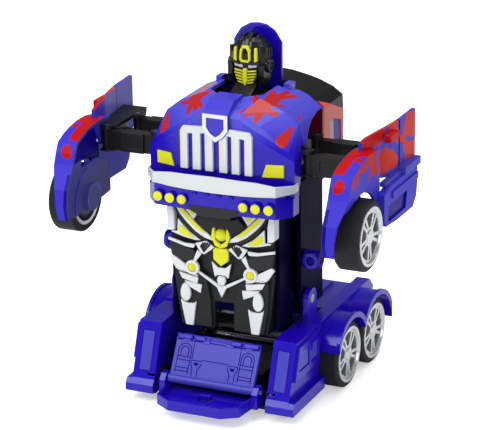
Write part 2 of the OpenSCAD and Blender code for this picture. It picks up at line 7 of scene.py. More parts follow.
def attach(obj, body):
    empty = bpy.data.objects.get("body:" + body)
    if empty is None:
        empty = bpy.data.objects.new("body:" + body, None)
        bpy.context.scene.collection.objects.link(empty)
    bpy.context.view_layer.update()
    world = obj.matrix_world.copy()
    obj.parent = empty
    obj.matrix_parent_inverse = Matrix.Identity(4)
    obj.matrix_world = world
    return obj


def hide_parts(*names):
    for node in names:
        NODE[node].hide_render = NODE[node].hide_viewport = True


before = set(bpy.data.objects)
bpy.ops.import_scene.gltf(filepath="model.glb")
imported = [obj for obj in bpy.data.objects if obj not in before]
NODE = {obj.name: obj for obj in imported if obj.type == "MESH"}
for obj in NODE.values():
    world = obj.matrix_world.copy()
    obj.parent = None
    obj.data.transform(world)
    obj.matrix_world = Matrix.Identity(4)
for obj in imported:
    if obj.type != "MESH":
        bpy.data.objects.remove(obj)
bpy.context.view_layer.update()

# The robot's looks: materials, surface pieces and a studio around the CAD frame.
# Places and sizes are mm. x is across, y runs back from the knee plane, z runs up from the ground.

SCENE = bpy.context.scene
MM = 0.001
Y0 = 41.0                    # from the knee plane back to the frame's origin
SIDES = ((1, "right"), (-1, "left"))
ARM_WHEEL = (-9.9, 133.6)    # y and z of the arm wheels' axles


def P(x, y, z):
    """Point in mm, as metres from the frame's origin."""
    return Vector((x * MM, (y - Y0) * MM, z * MM))


# ------------------------------------------------------------------ shader nodes
class Graph:
    """A new material, with short calls that add and link its nodes."""

    def __init__(self, name):
        self.mat = bpy.data.materials.new(name)
        self.mat.use_nodes = True
        self.nt = self.mat.node_tree
        self.nt.nodes.clear()
        self.object_coord = self.n("ShaderNodeTexCoord").outputs["Object"]

    def n(self, kind, **settings):
        node = self.nt.nodes.new(kind)
        for key, value in settings.items():
            setattr(node, key, value)
        return node

    def link(self, a, b):
        self.nt.links.new(a, b)

    def put(self, sock, value):
        """Link a socket to sock, or set sock to a plain value."""
        if isinstance(value, bpy.types.NodeSocket):
            self.link(value, sock)
        else:
            sock.default_value = value

    def math(self, op, a, b=0.0, c=0.0, clamp=False):
        node = self.n("ShaderNodeMath", operation=op, use_clamp=clamp)
        for sock, value in zip(node.inputs, (a, b, c)):
            self.put(sock, value)
        return node.outputs[0]

    def vector(self, op, a, b):
        """Vector sum, difference or dot product."""
        node = self.n("ShaderNodeVectorMath", operation=op)
        self.put(node.inputs[0], a)
        self.put(node.inputs[1], b)
        return node.outputs["Value" if op == "DOT_PRODUCT" else "Vector"]

    def scaled(self, vec, factor):
        node = self.n("ShaderNodeVectorMath", operation="SCALE")
        self.put(node.inputs[0], vec)
        self.put(node.inputs["Scale"], factor)
        return node.outputs["Vector"]

    def length(self, vec):
        node = self.n("ShaderNodeVectorMath", operation="LENGTH")
        self.put(node.inputs[0], vec)
        return node.outputs["Value"]

    def xyz(self, vec):
        node = self.n("ShaderNodeSeparateXYZ")
        self.link(vec, node.inputs[0])
        return node.outputs

    def mix(self, fac, a, b):
        node = self.n("ShaderNodeMix", data_type="RGBA")
        for slot, value in ((0, fac), (6, a), (7, b)):
            self.put(node.inputs[slot], value)
        return node.outputs[2]

    def noise(self, scale, detail, vec=None, rough=0.5, dist=0.0):
        node = self.n("ShaderNodeTexNoise")
        node.inputs["Scale"].default_value = scale
        node.inputs["Detail"].default_value = detail
        node.inputs["Roughness"].default_value = rough
        node.inputs["Distortion"].default_value = dist
        self.link(vec or self.object_coord, node.inputs["Vector"])
        return node.outputs["Fac"]

    def step(self, value, lo, hi):
        """0 below lo, 1 above hi, smooth between."""
        node = self.n("ShaderNodeMapRange", interpolation_type="SMOOTHSTEP")
        self.put(node.inputs[0], value)
        node.inputs[1].default_value = lo
        node.inputs[2].default_value = hi
        return node.outputs[0]

    def rounded_normal(self, radius):
        node = self.n("ShaderNodeBevel", samples=4)
        node.inputs[0].default_value = radius * MM
        return node.outputs[0]

    def folded(self):
        """Object position with x made positive, so that the two halves share one pattern."""
        x, y, z = self.xyz(self.object_coord)
        node = self.n("ShaderNodeCombineXYZ")
        self.link(self.math("ABSOLUTE", x), node.inputs[0])
        self.link(y, node.inputs[1])
        self.link(z, node.inputs[2])
        return node.outputs[0]


def rgb(c):
    return (c[0], c[1], c[2], 1.0)


# ------------------------------------------------------------------ moulded plastic
EDGE_BAND = 0.7       # width of the rubbed band along a sharp edge
EDGE_ROUND = 0.5      # radius that the light sees on a sharp edge
BUMP_HEIGHT = 0.4
TONE_DROP = 0.12      # how much darker the slow drift in tone goes
GLOSS_DRIFT = 0.18    # how much roughness varies over a surface
SPEC_SCALE = 0.5
COAT_SCALE = 0.4


def edge_mask(g):
    """1 on sharp outer edges: how far a rounded normal leans from the true one."""
    true_normal = g.n("ShaderNodeNewGeometry").outputs["Normal"]
    along = g.vector("DOT_PRODUCT", g.rounded_normal(EDGE_BAND), true_normal)
    return g.step(g.math("SUBTRACT", 1.0, along), 0.01, 0.25)


def toned(g, col):
    """Slow drift between the paint and a slightly darker one."""
    dark = g.mix(TONE_DROP, col, rgb((0.0, 0.0, 0.0)))
    return g.mix(g.noise(18.0, 2.0), dark, col)


def rubbed(g, col, wear, wear_col):
    """Paler paint along sharp edges, broken up by small spots."""
    spots = g.step(g.noise(420.0, 3.0), 0.35, 0.75)
    rub = g.math("MULTIPLY", g.math("MULTIPLY", edge_mask(g), spots), wear)
    return g.mix(rub, col, rgb(wear_col))


def grained_normal(g, bump, grain):
    """Fine moulding grain over softly rounded edges."""
    node = g.n("ShaderNodeBump")
    node.inputs["Strength"].default_value = bump
    node.inputs["Distance"].default_value = BUMP_HEIGHT * MM
    g.link(g.noise(grain, 2.0), node.inputs["Height"])
    g.link(g.rounded_normal(EDGE_ROUND), node.inputs["Normal"])
    return node.outputs[0]


def plastic(name, base, rough=0.32, coat=0.25, bump=0.04, grain=900.0, metal=0.0,
            wear=0.25, wear_col=None, pattern=None, spec=0.5):
    """Moulded plastic: tonal drift, uneven gloss, fine bump, rounded and rubbed edges."""
    g = Graph(name)
    col = pattern(g, rgb(base)) if pattern else rgb(base)
    paler = tuple(min(1.0, c * 1.5 + 0.06) for c in base)
    col = rubbed(g, toned(g, col), wear, wear_col or paler)
    low_gloss = max(0.03, rough - GLOSS_DRIFT / 2)
    gloss = g.math("MULTIPLY_ADD", g.noise(45.0, 4.0, rough=0.6), GLOSS_DRIFT, low_gloss)
    shader = g.n("ShaderNodeBsdfPrincipled")
    g.link(col, shader.inputs["Base Color"])
    g.link(gloss, shader.inputs["Roughness"])
    g.link(grained_normal(g, bump, grain), shader.inputs["Normal"])
    shader.inputs["Metallic"].default_value = metal
    shader.inputs["Specular IOR Level"].default_value = spec * SPEC_SCALE
    shader.inputs["Coat Weight"].default_value = coat * COAT_SCALE
    shader.inputs["Coat Roughness"].default_value = 0.12
    g.link(shader.outputs[0], g.n("ShaderNodeOutputMaterial").inputs[0])
    return g.mat


# ------------------------------------------------------------------ colours
RED = (0.42, 0.003, 0.006)
CORAL = (0.55, 0.035, 0.018)
BLUE = (0.013, 0.0015, 0.44)
BLUE_LIT = (0.040, 0.030, 0.50)
BLUE_DECK = (0.045, 0.038, 0.40)
BLUE_SHADE = (0.014, 0.005, 0.30)
NAVY = (0.006, 0.0006, 0.23)
# painted shade: the blue torso made almost black, where it sits in shade
TORSO_PAINTED_SHADE = (0.002, 0.0004, 0.022)
# painted light: the blue plastic made paler where its faces catch the light and its sheen
BLUE_PAINTED_LIGHT = (0.055, 0.055, 0.46)
# painted light: the top of the hood made paler, as the light falls on it
HOOD_TOP_PAINTED_LIGHT = (0.065, 0.060, 0.56)
# painted light: pale blue for the door's inner faces, where they catch the light
DOOR_BACK_PAINTED_LIGHT = (0.15, 0.14, 0.50)
HUB_GREY = (0.045, 0.05, 0.17)
STRIPE_GREY = (0.30, 0.27, 0.27)
BLACK = (0.010, 0.010, 0.011)
CHAR = (0.020, 0.020, 0.023)
SILVER = (0.66, 0.69, 0.70)
WHITE = (0.72, 0.74, 0.75)
YELLOW = (0.72, 0.73, 0.012)
SALMON = (0.58, 0.075, 0.05)
MAROON = (0.16, 0.004, 0.02)

# ------------------------------------------------------------------ painted flames
FLAME_WAVE = 1.3      # how far a flame's outline wanders
FLAME_SOFT = 0.25     # softness of its edge
# each tongue: from, to (|x|, y, z), then the radius at each end
HOOD_FLAMES = [
    ((24, 15, 201), (26, 27, 202.6), 5.0, 4.0),
    ((25, 26, 202.5), (21.3, 41, 204.9), 4.0, 1.5),
    ((26.5, 30, 202.5), (27, 50, 202.5), 3.0, 1.3),
    ((28, 38, 202), (32, 50, 200.2), 2.0, 1.5),
    ((25, 20, 202), (33, 27, 200), 2.5, 1.8),
    ((24, 15, 201), (32.5, 16.5, 197.8), 3.0, 2.2),
    ((24, 13, 200), (23.6, 4.6, 195), 3.5, 1.5),
    ((22, 12, 200.5), (17, 3.5, 198.4), 3.2, 1.3),
    ((21, 14, 201.5), (13, 3, 199), 2.6, 1.4),
    ((20, 16, 203), (15.5, 24, 205.4), 3.0, 1.4),
    ((43.6, 30, 192.8), (41.5, 6, 183), 1.0, 3.8),
]
FENDER_FLAMES = [
    ((92, 8, 182.5), (92, -14, 179.8), 6.0, 4.0),
    ((93, -12, 179), (95, -28.5, 169), 4.6, 3.8),
    ((99, -6, 180), (102, -23, 171), 3.0, 3.2),
    ((101, 5, 181), (102, -8, 176), 4.2, 3.0),
    ((90.5, -14, 179.5), (90.5, -23, 176), 2.6, 2.0),
    ((102.5, 6, 179), (102.5, 16, 168), 4.0, 3.0),
    ((102.5, 8, 172), (102.5, 3, 166), 2.5, 1.4),
    ((97, 18, 182.5), (97, 0, 182), 4.5, 3.0),
]


def tongue(g, vec, start, end, r_start, r_end):
    """Distance to a tapered tongue that runs from start to end."""
    foot = P(*start)
    run = P(*end) - foot
    away = g.vector("SUBTRACT", vec, foot)
    along = g.math("DIVIDE", g.vector("DOT_PRODUCT", away, run), run.length_squared, clamp=True)
    gap = g.vector("SUBTRACT", away, g.scaled(run, along))
    radius = g.math("MULTIPLY_ADD", along, (r_end - r_start) * MM, r_start * MM)
    return g.math("SUBTRACT", g.length(gap), radius)


def flames(g, col, tongues):
    """Red flames over col: the union of tapered tongues, with a wavy outline."""
    vec = g.folded()
    nearest = tongue(g, vec, *tongues[0])
    for t in tongues[1:]:
        nearest = g.math("MINIMUM", nearest, tongue(g, vec, *t))
    ripple = g.math("SUBTRACT", g.noise(150.0, 1.0, vec=vec), 0.5)
    edge = g.math("ADD", nearest, g.math("MULTIPLY", ripple, FLAME_WAVE * 2 * MM))
    return g.mix(g.step(edge, FLAME_SOFT * MM, -FLAME_SOFT * MM), col, rgb(RED))


# ------------------------------------------------------------------ painted zones
def zone_sides(zone):
    """Each closed side of a zone: its axis, its place in metres and the sign of the way in."""
    low, high = zone
    origin = (0.0, Y0, 0.0)
    for axis in range(3):
        for limit, sign in ((low[axis], 1.0), (high[axis], -1.0)):
            if limit is not None:
                yield axis, (limit - origin[axis]) * MM, sign


def inside(g, vec, zone, soft=0.05):
    """1 inside a zone, given as low and high corner (|x|, y, z); None leaves a side open."""
    parts = g.xyz(vec)
    total = 1.0
    for axis, limit, sign in zone_sides(zone):
        depth = g.math("MULTIPLY", g.math("SUBTRACT", parts[axis], limit), sign)
        total = g.math("MULTIPLY", total, g.step(depth, -soft * MM, soft * MM))
    return total


def zones(*parts):
    """Pattern of (zone, colour) parts, each painted over the ones before it."""
    def pattern(g, col):
        vec = g.folded()
        for zone, c in parts:
            col = g.mix(inside(g, vec, zone), col, rgb(c))
        return col
    return pattern


# zones of the CAD pieces, as low and high corner
OPEN = (None, None, None)
FLAP_TOP = ((None, None, 42.6), OPEN)
TORSO_SIDES = ((45.2, None, None), OPEN)
BADGE_FACE = (OPEN, (None, -5.2, None))
CAB_STRIPE = ((40, 77.5, 150), (None, 83.9, 176))
CAB_FRONT = (OPEN, (None, 68, None))
CAB_SIDE_GLASS = ((43.2, None, None), (None, None, 178.5))

# zones of the side panel that each arm carries
DOOR = ((92, 8, 160.4), (110, 80.5, 195))
DOOR_REAR = ((96, 54.4, 160), (110, 81, 196))
DOOR_FACE = ((96, 16, 155), (110, 81, 196))
DOOR_INNER = ((91, 30, 174), (110, 81, 196))
DOOR_SEAM = ((100.5, 52.8, 160), (104, 54.6, 195))
WHEEL_GUARD = ((86, None, None), (91.3, 20, 157.2))
HUB_FACE = ((86, None, None), (89.02, 20, None))
SIDE_POCKET = ((106.0, 23, 131), (107.3, 59, 144))
HANDLE = ((101.75, 30.9, 182.3), (107, 46.1, 187.2))
DOOR_SOFT = 0.3


def hood_flames_and_painted_light(g, col):
    """Painted light on top of the hood: a paler blue up there, deep blue down its front, flames over both."""
    height = g.xyz(g.object_coord)[2]
    # painted light: paler blue towards the top of the hood
    col = g.mix(g.step(height, 176 * MM, 198 * MM), rgb(BLUE), rgb(HOOD_TOP_PAINTED_LIGHT))
    return flames(g, col, HOOD_FLAMES)


def outward(g):
    """1 on faces that look away from the middle plane or upwards."""
    across = g.xyz(g.object_coord)[0]
    facing = g.xyz(g.object_coord.node.outputs["Normal"])
    side = g.math("MULTIPLY", g.math("SIGN", across), facing[0])
    return g.step(g.math("MAXIMUM", side, facing[2]), 0.05, 0.15)


def door_flame_cover(g, vec):
    """Where the door's broad flames lie: most of its front half, less of its rear half."""
    blots = g.noise(58.0, 1.2, vec=vec, dist=0.6)
    rear = inside(g, vec, DOOR_REAR, DOOR_SOFT)
    on_front = g.math("MULTIPLY", g.step(blots, 0.43, 0.45), g.math("SUBTRACT", 1.0, rear))
    on_rear = g.math("MULTIPLY", g.step(blots, 0.55, 0.57), rear)
    cover = g.math("MAXIMUM", on_front, on_rear)
    return g.math("MULTIPLY", inside(g, vec, DOOR, DOOR_SOFT), cover)


def side_panel_flames_and_painted_light(g, col):
    """Fender and door flames outside, blue inside, navy guard, grey-blue hub, red handle; painted light makes
    the door face and the door's inner faces paler.
    """
    vec = g.folded()
    # painted light: the door face in a paler blue, where it catches the light
    col = g.mix(inside(g, vec, DOOR_FACE, DOOR_SOFT), col, rgb(BLUE_PAINTED_LIGHT))
    # painted light: the door's inner faces in a pale blue, where light falls on them
    plain = g.mix(inside(g, vec, DOOR_INNER, 3.0), col, rgb(DOOR_BACK_PAINTED_LIGHT))
    rearward = g.step(g.xyz(vec)[1], (20 - Y0) * MM, (46 - Y0) * MM)
    hot = g.mix(rearward, rgb(RED), rgb(CORAL))
    painted = g.mix(door_flame_cover(g, vec), col, hot)
    painted = flames(g, painted, FENDER_FLAMES)
    col = g.mix(outward(g), plain, painted)
    over = ((DOOR_SEAM, NAVY), (WHEEL_GUARD, NAVY), (HUB_FACE, HUB_GREY), (SIDE_POCKET, NAVY), (HANDLE, RED))
    return zones(*over)(g, col)


# ------------------------------------------------------------------ materials
MATS = {}


def blue_plastics():
    MATS["blue"] = plastic("blue_gloss", BLUE, rough=0.24, coat=0.5)
    MATS["hood"] = plastic("hood_flamed_painted_light", BLUE_LIT, rough=0.26, coat=0.45, pattern=hood_flames_and_painted_light)
    # side panel: flames, with painted light on the door face and the door's inner faces
    MATS["panel"] = plastic("side_panel_flamed_painted_light", BLUE_LIT, rough=0.4, coat=0.08, spec=0.12,
                            wear=0.15, pattern=side_panel_flames_and_painted_light)
    # the paler blue below is painted light and sheen on lit faces of blue plastic
    MATS["lit_blue"] = plastic("painted_light_blue_gloss", BLUE_PAINTED_LIGHT, rough=0.34, coat=0.25)
    MATS["deck"] = plastic("deck_blue", BLUE_DECK, rough=0.32, coat=0.3)
    # flap plate in the paler blue of painted light on its lit face; the strip on top stays plain blue
    MATS["flap"] = plastic("flap_blue", BLUE_PAINTED_LIGHT, rough=0.36, coat=0.2,
                           pattern=zones((FLAP_TOP, BLUE)))
    # torso in painted shade: near-black blue where the blue plastic lies in shade, its outer sides in a
    # shaded blue
    MATS["torso"] = plastic("torso_painted_shade_blue", TORSO_PAINTED_SHADE, rough=0.5, coat=0.0, spec=0.05,
                            wear_col=(0.01, 0.004, 0.12), pattern=zones((TORSO_SIDES, BLUE_SHADE)))
    MATS["badge"] = plastic("badge_paint", BLUE_LIT, rough=0.3, coat=0.3,
                            pattern=zones((BADGE_FACE, WHITE)))
    MATS["navy"] = plastic("navy_gloss", NAVY, rough=0.55, coat=0.0, spec=0.06, wear=0.1)


def dark_plastics():
    MATS["black"] = plastic("black_satin", BLACK, rough=0.42, coat=0.05, bump=0.12,
                            wear_col=(0.06, 0.06, 0.06))
    MATS["char"] = plastic("charcoal_satin", CHAR, rough=0.5, coat=0.0, bump=0.15,
                           wear_col=(0.07, 0.07, 0.07))
    MATS["gloss_black"] = plastic("black_gloss", (0.008, 0.008, 0.009), rough=0.2, coat=0.4,
                                  wear_col=(0.05, 0.05, 0.05))
    MATS["glazing"] = plastic("cab_glazing_gloss", (0.006, 0.006, 0.007), rough=0.32, coat=0.1, spec=0.3,
                              wear_col=(0.05, 0.05, 0.05), pattern=zones((CAB_SIDE_GLASS, NAVY)))
    MATS["tyre"] = plastic("tyre_rubber", (0.016, 0.016, 0.018), rough=0.62, coat=0.0, bump=0.35,
                           grain=1400.0, wear_col=(0.05, 0.05, 0.05), spec=0.35)


def trim_paints():
    MATS["silver"] = plastic("silver_paint", SILVER, rough=0.36, coat=0.15, bump=0.08, metal=0.15,
                             wear_col=(0.9, 0.9, 0.9))
    MATS["white"] = plastic("white_paint", WHITE, rough=0.4, coat=0.1, bump=0.06,
                            wear_col=(0.95, 0.95, 0.95))
    MATS["yellow"] = plastic("yellow_paint", YELLOW, rough=0.3, coat=0.3, wear_col=(0.9, 0.9, 0.3))
    MATS["salmon"] = plastic("cab_salmon", SALMON, rough=0.35, coat=0.3,
                             pattern=zones((CAB_STRIPE, STRIPE_GREY), (CAB_FRONT, MAROON)))
    MATS["eye"] = plastic("eye_pale", (0.62, 0.55, 0.68), rough=0.25, coat=0.4)
    MATS["olive"] = plastic("mouth_guard_olive", (0.16, 0.15, 0.006), rough=0.4, coat=0.2)


def metals_and_inner_parts():
    MATS["chrome"] = plastic("rim_metallised", (0.62, 0.63, 0.65), rough=0.26, coat=0.3, metal=0.75,
                             wear_col=(0.85, 0.85, 0.87))
    MATS["steel"] = plastic("steel_rod", (0.5, 0.5, 0.52), rough=0.3, coat=0.0, metal=1.0,
                            wear_col=(0.7, 0.7, 0.7))
    MATS["green"] = plastic("board_green", (0.02, 0.16, 0.06), rough=0.4)
    MATS["wrap"] = plastic("cell_sleeve", (0.05, 0.05, 0.07), rough=0.3)


# CAD nodes painted with each material
PAINTED = {
    "blue": "base_shell front_tray lamp_bar head_panel",
    "deck": "rear_deck",
    "flap": "front_flap",
    "hood": "hood_shell",
    "panel": "left_side_panel right_side_panel",
    "torso": "torso_shell",
    "badge": "badge",
    "black": "chassis_pan battery_door drive_gearbox left_roller right_roller torso_front fold_gearbox "
             "speaker head_helmet shoulder_brackets right_front_bar right_rear_bar left_front_bar "
             "left_rear_bar right_arm_frame left_arm_frame back_cover power_switch",
    "glazing": "cab_glazing",
    "silver": "grille bumper",
    "white": "armour_plates",
    "yellow": "headlights round_lamps yellow_caps head_mask",
    "chrome": "front_rims rear_rims right_arm_rim left_arm_rim",
    "tyre": "front_tyres rear_tyres right_arm_tyre left_arm_tyre",
    "salmon": "cab_shell",
    "steel": "base_pins battery_contacts door_screw chassis_screws hinge_shaft front_axle rear_axle "
             "hinge_pins right_arm_pins left_arm_pins drive_motor fold_motor",
    "green": "circuit_board",
    "wrap": "battery_cells",
}


def paint_nodes():
    for mat, names in PAINTED.items():
        for name in names.split():
            slots = NODE[name].data.materials
            slots.clear()
            slots.append(MATS[mat])


# ------------------------------------------------------------------ piece builders
AXIS_GAP = 0.001      # outline points this close to a lathe's axis become one point


def finish_mesh(name, bm, mat, body, bevel=0.0, smooth=False):
    """Turn bm into an object that rides on a body, with its sharp edges bevelled."""
    bmesh.ops.recalc_face_normals(bm, faces=bm.faces)
    for face in bm.faces:
        face.smooth = smooth
    mesh = bpy.data.meshes.new(name)
    bm.to_mesh(mesh)
    bm.free()
    mesh.materials.append(MATS[mat])
    ob = bpy.data.objects.new(name, mesh)
    SCENE.collection.objects.link(ob)
    if bevel > 0:
        mod = ob.modifiers.new("edge", "BEVEL")
        mod.width = bevel * MM
        mod.segments = 2
        mod.limit_method = "ANGLE"
        mod.angle_limit = math.radians(28)
    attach(ob, body)
    return ob


def join_loops(bm, a, b):
    """Faces between two closed loops of equally many vertices."""
    n = len(a)
    for i in range(n):
        j = (i + 1) % n
        bm.faces.new([a[i], a[j], b[j], b[i]])


def slab(bm, low, high):
    """Closed solid between two outlines of equally many points."""
    lo = [bm.verts.new(p) for p in low]
    hi = [bm.verts.new(p) for p in high]
    bm.faces.new(lo)
    bm.faces.new(hi[::-1])
    join_loops(bm, lo, hi)


def off_plane(plane, p, a):
    """Point p of a plane ('xz', 'yz' or 'xy'), moved a along the third axis."""
    u, v = p
    return {"xz": P(u, a, v), "yz": P(a, u, v), "xy": P(u, v, a)}[plane]


def prism(name, plane, pts, a0, a1, mat, body, bevel=0.25):
    """Polygon in a plane pushed from a0 to a1."""
    bm = bmesh.new()
    slab(bm, [off_plane(plane, p, a0) for p in pts], [off_plane(plane, p, a1) for p in pts])
    return finish_mesh(name, bm, mat, body, bevel)


def pair(name, plane, pts, a0, a1, mat, body, bevel=0.25):
    """The same prism on the right and, mirrored, on the left; plane is 'xz' or 'yz'."""
    prism(name + "_right", plane, pts, a0, a1, mat, body, bevel)
    if plane == "yz":
        prism(name + "_left", plane, pts, -a0, -a1, mat, body, bevel)
    else:
        mirrored = [(-x, z) for x, z in reversed(pts)]
        prism(name + "_left", plane, mirrored, a0, a1, mat, body, bevel)


def box(name, x0, x1, ya, yb, z0, z1, mat, body, bevel=0.3):
    return prism(name, "xy", [(x0, ya), (x1, ya), (x1, yb), (x0, yb)], z0, z1, mat, body, bevel)


def arc(c, r, first, last, steps):
    """Points on a circle about c, from angle first to angle last in degrees."""
    angles = [math.radians(first + (last - first) * i / steps) for i in range(steps + 1)]
    return [(c[0] + r * math.cos(t), c[1] + r * math.sin(t)) for t in angles]


def round_axis(c, axis, u, w, h):
    """Point at u, w across an axis through c, and h along it."""
    x, y, z = c
    return {"x": P(x + h, y + u, z + w), "y": P(x + u, y + h, z + w), "z": P(x + u, y + w, z + h)}[axis]


def turned(bm, c, axis, outline, n, sign=1):
    """Copies of an outline of (radius, height) points, turned round an axis in n steps."""
    rows = []
    for i in range(n):
        t = 2 * math.pi * i / n
        points = [round_axis(c, axis, r * math.cos(t), r * math.sin(t), h * sign) for r, h in outline]
        rows.append([bm.verts.new(p) for p in points])
    return rows


def ring(name, c, axis, r_out, r_in, half, mat, body, n=40):
    """Flat ring of rectangular section, half its thickness either side of c."""
    bm = bmesh.new()
    rows = turned(bm, c, axis, ((r_out, -half), (r_out, half), (r_in, half), (r_in, -half)), n)
    for i in range(n):
        join_loops(bm, rows[i], rows[(i + 1) % n])
    return finish_mesh(name, bm, mat, body, 0.2)


def lathe(name, c, axis, outline, mat, body, n=48, sign=1):
    """Smooth turned piece; the outline of (radius, height) points is left open."""
    bm = bmesh.new()
    rows = turned(bm, c, axis, outline, n, sign)
    for i in range(n):
        a, b = rows[i], rows[(i + 1) % n]
        for j in range(len(outline) - 1):
            bm.faces.new([a[j], a[j + 1], b[j + 1], b[j]])
    bmesh.ops.remove_doubles(bm, verts=bm.verts, dist=AXIS_GAP * MM)
    return finish_mesh(name, bm, mat, body, smooth=True)


def dome(name, c, r, depth, mat, body, n=24):
    """Half ball that bulges forward from c."""
    rows = 7
    quarter = [math.pi / 2 * i / rows for i in range(rows)]
    outline = [(r * math.cos(t), -depth * math.sin(t)) for t in quarter]
    return lathe(name, c, "y", outline + [(AXIS_GAP / 10, -depth)], mat, body, n)


# ------------------------------------------------------------------ trim on the torso front
FRONT = 0.9           # face of the trim
SUNK = 2.4            # back of the trim, inside the black front
INLAY_BACK = FRONT + 0.1
KNEE = (20.9, 90.9)   # x and z of the knee joints


def relief(name, pts, mat="white", lift=0.0, back=SUNK, bevel=0.25, maker=pair):
    """Raised trim, made as a mirrored pair or a single prism; lift is how far it stands past FRONT."""
    return maker(name, "xz", pts, FRONT - lift, back, mat, "torso", bevel)


def inlay(name, pts, lift=0.4):
    """Yellow face on a raised piece."""
    relief(name, pts, "yellow", lift, INLAY_BACK, 0.1)


def waist_arcs():
    relief("waist_arc_white", [
        (5.7, 111.4), (11.6, 112.7), (18.1, 116.3), (24.7, 122.1), (29.0, 126.9), (31.9, 131.5),
        (32.5, 134.5), (29, 134.5), (26.2, 130.8), (22.6, 127.4), (17.5, 122.1), (13.1, 118.4), (7.2, 114.1)])
    inlay("waist_arc_yellow", [
        (12.3, 115.8), (18.2, 119.2), (24.0, 124.4), (28.4, 129.2), (31, 133.5), (28, 133.5), (26.4, 130.9),
        (21.1, 125.6), (16.7, 121.3), (11.6, 117.3)])
    relief("waist_arc_grey", [
        (7.9, 110.4), (14.8, 112.0), (21.7, 116.5), (27.9, 122.6), (33.4, 131.0), (34.4, 134.5), (33, 134.5),
        (32.2, 131.0), (29.0, 126.4), (24.7, 121.6), (18.1, 115.8), (11.5, 112.2)], "char", -0.2, bevel=0.1)


def hips():
    relief("hip_triangle_white", [
        (14.8, 110.5), (22.4, 115.1), (26.8, 119.2), (30.8, 123.6), (31.2, 114.6), (35.4, 114.6),
        (35.4, 113.8), (26.0, 111.3), (18.8, 110.3)])
    inlay("hip_triangle_yellow", [
        (18.8, 111.7), (22.4, 114.8), (26.1, 118.0), (29.5, 119.6), (30.0, 114.4), (26.0, 112.6)])
    relief("flank_plate", [
        (34.7, 134), (38.4, 134), (38.4, 117.2), (37, 116.0), (33.2, 115.2), (33.3, 126.0)],
        lift=0.6, back=7.9, bevel=0.5)
    relief("hip_rim", [
        (18.7, 107.2), (26.0, 107.0), (38.0, 109.8), (38.2, 108.1), (25.9, 104.9), (19.8, 104.4)])
    relief("thigh_panel", [(19.8, 103.1), (37.6, 107.2), (36.0, 98.0), (26.0, 94.1), (17.2, 98.0)],
           "char", -0.3, bevel=0.4)


def vents():
    """A white frame with four black slots that fan across it."""
    frame_pts = [(4.9, 106.7), (10.8, 110.5), (18.7, 107.9), (14.7, 101.7), (12.1, 101.0)]
    relief("vent_frame", frame_pts, lift=-0.2)
    h = 0.42
    for k in range(4):
        t = 0.14 + 0.2 * k
        x0, z0 = 6.5 + 8.4 * t, 107.6 + 2.0 * (1 - abs(t - 0.45))
        x1, z1 = 12.2 + 3.4 * t, 102.0 + 5.2 * t
        slot = [(x0 - h, z0 - h), (x0 + h, z0 + h), (x1 + h, z1 + h), (x1 - h, z1 - h)]
        relief("vent_slot_%d" % k, slot, "black", 0.15, FRONT + 0.3, 0.05)


def knees():
    relief("brace_line", [(14.3, 101.0), (17.2, 103.5), (20.6, 95.1), (18.8, 94.8)])
    x, z = KNEE
    for s, side in SIDES:
        ring("knee_ring_" + side, (s * x, FRONT + 0.4, z), "y", 4.9, 3.0, 1.2, "white", "torso")
        dome("knee_ball_" + side, (s * x, FRONT + 0.6, z), 3.1, 2.6, "yellow", "torso")
    relief("knee_guard", [
        (26.2, 92.4), (35.6, 98.0), (37.9, 96.3), (33.0, 88.8), (30.8, 87.4), (17.4, 84.6), (17.2, 86.2),
        (23.6, 86.4)], back=SUNK + 0.3, bevel=0.4)
    relief("knee_band", [(17.0, 84.0), (30.8, 86.3), (28.6, 82.1), (17.7, 79.8)], lift=-0.2)


def shins():
    relief("shin_top_plate", [(14.4, 79.3), (27.1, 80.8), (22.7, 76.6), (15.4, 73.4)], lift=-0.2)
    x, z, half_width, half_height = 26.0, 73.1, 3.6, 6.4
    oval = []
    for i in range(24):
        t = 2 * math.pi * i / 24
        narrowing = 1 - 0.12 * math.sin(t)
        oval.append((x + half_width * math.cos(t) * narrowing, z + half_height * math.sin(t)))
    relief("shin_oval", oval, lift=0.8, bevel=0.5)
    relief("shin_guard", [
        (18.6, 67.2), (20.4, 65.6), (24.1, 65.2), (27.8, 65.9), (29.9, 67.6), (26.4, 50.0), (21.0, 49.8)],
        lift=0.2, back=SUNK + 0.2, bevel=0.5)


def pelvis():
    relief("pelvis_line", [(17.1, 89.3), (17.5, 87.9), (3.4, 79.3), (0, 80.6), (2.7, 81.4)])
    tip = relief("pelvis_tip", [(-3.9, 80.6), (3.9, 80.6), (0, 72.6)], lift=0.3, bevel=0.3, maker=prism)
    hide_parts("armour_plates")


def centre_figure():
    """Ball in a winged cup, the shield under it and the white plates below that."""
    ball = dome("waist_ball_front", (0, FRONT + 1.4, 116.0), 4.4, 4.2, "yellow", "torso", 28)
    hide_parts("yellow_caps")
    relief("cup_wing", [
        (4.3, 121.4), (5.9, 120.8), (6.6, 114.5), (4.2, 108.6), (0, 107.1), (0, 109.4), (3.6, 112.3)],
        "yellow", 0.9, bevel=0.4)
    relief("belly_shield", [(-5.4, 104.2), (5.4, 104.2), (5.4, 98.9), (0, 94.6), (-5.4, 98.9)],
           "yellow", 0.6, bevel=0.4, maker=prism)
    relief("belly_shield_top", [(-4.2, 106.9), (4.2, 106.9), (5.8, 104.6), (0, 102.4), (-5.8, 104.6)],
           "yellow", 0.9, bevel=0.3, maker=prism)
    relief("groin_plate", [
        (-7, 96.9), (-2.6, 93.2), (2.6, 93.2), (7, 96.9), (4.8, 86.4), (2.6, 88.1), (-2.6, 88.1),
        (-4.8, 86.4)], bevel=0.3, maker=prism)
    relief("groin_core", [(-2.2, 87.4), (2.2, 87.4), (3.2, 84.6), (1.8, 81.2), (-1.8, 81.2), (-3.2, 84.6)],
           lift=0.6, bevel=0.4, maker=prism)


